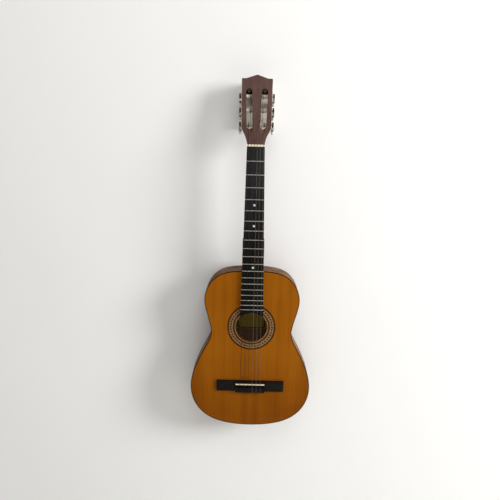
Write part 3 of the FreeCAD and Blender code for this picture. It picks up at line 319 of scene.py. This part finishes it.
STEEL = brushed("screw_steel", srgb(188, 186, 182), srgb(150, 148, 144), roughness=0.3)
NICKEL = brushed("tuner_metal", srgb(150, 146, 136), srgb(92, 88, 78), roughness=0.26)
GEARS = brushed("gear_metal", srgb(84, 72, 52), srgb(52, 44, 32), roughness=0.34)
FRET = brushed("fret_metal", srgb(190, 188, 183), srgb(160, 158, 153), along="X", roughness=0.36)


def wound_string():
    """Fine wire wound round the core: ridges across the string."""
    wire = 0.00035
    made = Shader("bass_wound", metallic=1.0, roughness=0.5)
    x, y, z = made.parts(made.where())
    turns = made.math("SINE", made.math("MULTIPLY", z, 2 * math.pi / wire))
    patch = made.noise(made.where(), 60.0, 3.0)
    made.colour(made.mix(patch, srgb(64, 54, 42), srgb(44, 37, 28)))
    made.bump(turns, 0.00005, 0.6)
    return made


def paper_label():
    """Plain olive paper with a printed frame line whose lower corners are round."""
    made = Shader("label_paper", roughness=0.8, specular=0.2)
    x, y, z = made.parts(made.where())
    paper_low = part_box("label")[0].z
    half, corner, margin, line_half = 0.038, 0.008, 0.003, 0.0013
    past_side = made.math("SUBTRACT", made.math("ABSOLUTE", x), half - corner)
    past_low = made.math("SUBTRACT", paper_low + margin + corner, z)
    out_side = made.math("MAXIMUM", past_side, 0.0)
    out_low = made.math("MAXIMUM", past_low, 0.0)
    reach = made.math("SQRT", made.math("ADD", made.math("POWER", out_side, 2.0),
                                        made.math("POWER", out_low, 2.0)))
    inner = made.math("MINIMUM", made.math("MAXIMUM", past_side, past_low), 0.0)
    line = made.math("COMPARE", made.math("ADD", reach, inner), corner)
    line.node.inputs[2].default_value = line_half
    fibres = made.noise(made.where(), 500.0, 5.0, 0.7)
    paper = made.mix(fibres, srgb(134, 116, 44), srgb(156, 140, 62))
    made.colour(made.mix(line, paper, srgb(26, 21, 9)))
    made.bump(fibres, 0.00003, 0.5)
    return made


dress(PALE, "wall_plate")
dress(COATED, "hanger_bracket")
dress(RUBBER, "peg_sleeves")
dress(STEEL, "bracket_screws")
dress(CREAM, "nut", "saddle")
dress(PEARL, "position_dots", *["button_%d" % n for n in range(1, 7)])
dress(ROLLER, *["roller_%d" % n for n in range(1, 7)])
dress(NICKEL, "tuner_plates", "tuner_screws")
dress(GEARS, *["gear_%d" % n for n in range(1, 7)])
dress(NICKEL, *["worm_%d" % n for n in range(1, 7)])
dress(FRET, "frets")
dress(NYLON, "string_1", "string_2", "string_3")
WOUND = wound_string()
dress(WOUND, "string_4", "string_5", "string_6")
dress(paper_label(), "label")

# ------------------------------------------------------------------ string turns on the rollers

# Sideways middle of each string's turns, and the turns' own sizes, in millimetres.
TURN_AT = {1: 20.0, 2: 15.8, 3: 16.0, 4: -16.0, 5: -15.8, 6: -20.0}
TURNS = 4
TURN_PITCH = 1.1
TURN_RADIUS = 5.58
CORD_RADIUS = 0.5
AROUND = 48
SECTION = 10


def turns_of_string(n):
    """Rings of string side by side on roller n, turning with the roller."""
    low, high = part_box("roller_%d" % n)
    axis = Vector((0.0, (low.y + high.y) / 2, (low.z + high.z) / 2))
    mesh = bmesh.new()
    for k in range(TURNS):
        x = (TURN_AT[n] + TURN_PITCH * (k - (TURNS - 1) / 2)) * MM
        rows = []
        for i in range(AROUND):
            turn = 2 * math.pi * i / AROUND
            row = []
            for j in range(SECTION):
                lap = 2 * math.pi * j / SECTION
                reach = (TURN_RADIUS + CORD_RADIUS * math.cos(lap)) * MM
                row.append(mesh.verts.new((
                    x + CORD_RADIUS * MM * math.sin(lap),
                    axis.y + reach * math.cos(turn),
                    axis.z + reach * math.sin(turn),
                )))
            rows.append(row)
        for i in range(AROUND):
            for j in range(SECTION):
                a, b = rows[i], rows[(i + 1) % AROUND]
                mesh.faces.new((a[j], a[(j + 1) % SECTION], b[(j + 1) % SECTION], b[j]))
    bmesh.ops.recalc_face_normals(mesh, faces=mesh.faces)
    for face in mesh.faces:
        face.smooth = True
    data = bpy.data.meshes.new("turns_%d" % n)
    mesh.to_mesh(data)
    mesh.free()
    made = bpy.data.objects.new("turns_%d" % n, data)
    data.materials.append((NYLON if n <= 3 else WOUND).material)
    bpy.context.scene.collection.objects.link(made)
    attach(made, "spool_%d" % n)


for n in range(1, 7):
    turns_of_string(n)

# ------------------------------------------------------------------ stage and light


def sheet_of(name, corners):
    mesh = bpy.data.meshes.new(name)
    mesh.from_pydata(corners, [], [(0, 1, 2, 3)])
    made = bpy.data.objects.new(name, mesh)
    bpy.context.scene.collection.objects.link(made)
    return made


def stage_paint(name, colour):
    """Matt wall paint, see-through from behind so that other views aren't blocked."""
    made = Shader(name, roughness=0.9, specular=0.2)
    tone = made.noise(made.where(), 3.0, 3.0)
    shade = tuple(c * 0.97 for c in colour[:3]) + (1.0,)
    made.colour(made.mix(tone, colour, shade))
    made.bump(made.noise(made.where(), 700.0, 3.0), 0.0001, 0.15)
    tree = made.tree
    back = made.add("ShaderNodeNewGeometry").outputs["Backfacing"]
    clear = made.add("ShaderNodeBsdfTransparent")
    either = made.add("ShaderNodeMixShader", Fac=back)
    tree.links.new(made.bsdf.outputs["BSDF"], either.inputs[1])
    tree.links.new(clear.outputs["BSDF"], either.inputs[2])
    tree.links.new(either.outputs["Shader"], tree.nodes["Material Output"].inputs["Surface"])
    return made


WALL_Y = cad_box[1][1] + 0.0005
FLOOR_Z = cad_box[0][2] - 0.8
HALF = 4
CEILING = 3
FRONT = -5
wall = sheet_of("wall", [(-HALF, WALL_Y, FLOOR_Z), (HALF, WALL_Y, FLOOR_Z),
                         (HALF, WALL_Y, CEILING), (-HALF, WALL_Y, CEILING)])
floor = sheet_of("floor", [(-HALF, FRONT, FLOOR_Z), (HALF, FRONT, FLOOR_Z),
                           (HALF, WALL_Y, FLOOR_Z), (-HALF, WALL_Y, FLOOR_Z)])
wall.data.materials.append(stage_paint("wall_paint", srgb(243, 243, 242)).material)
floor.data.materials.append(stage_paint("floor_paint", srgb(226, 223, 217)).material)


def lamp(name, place, target, size, power, colour=(1.0, 1.0, 1.0)):
    data = bpy.data.lights.new(name, "AREA")
    data.shape = "DISK"
    data.size = size
    data.energy = power
    data.color = colour
    made = bpy.data.objects.new(name, data)
    way = Vector(target) - Vector(place)
    made.rotation_euler = way.to_track_quat("-Z", "Y").to_euler()
    made.location = place
    bpy.context.scene.collection.objects.link(made)


MIDDLE = ((cad_box[0][0] + cad_box[1][0]) / 2, cad_box[0][1], (cad_box[0][2] + cad_box[1][2]) / 2)
lamp("key", (3.4, -1.75, MIDDLE[2] + 1.25), MIDDLE, 1.5, 152.0, (1.0, 1.0, 0.998))
lamp("fill", (0.3, -2.0, 1.8), (0.0, 0.0, -0.1), 2.0, 21.0, (1.0, 0.995, 0.985))

world = bpy.data.worlds.new("studio")
world.use_nodes = True
world.node_tree.nodes["Background"].inputs["Color"].default_value = (1.0, 0.99, 0.98, 1.0)
world.node_tree.nodes["Background"].inputs["Strength"].default_value = 0.34
bpy.context.scene.world = world
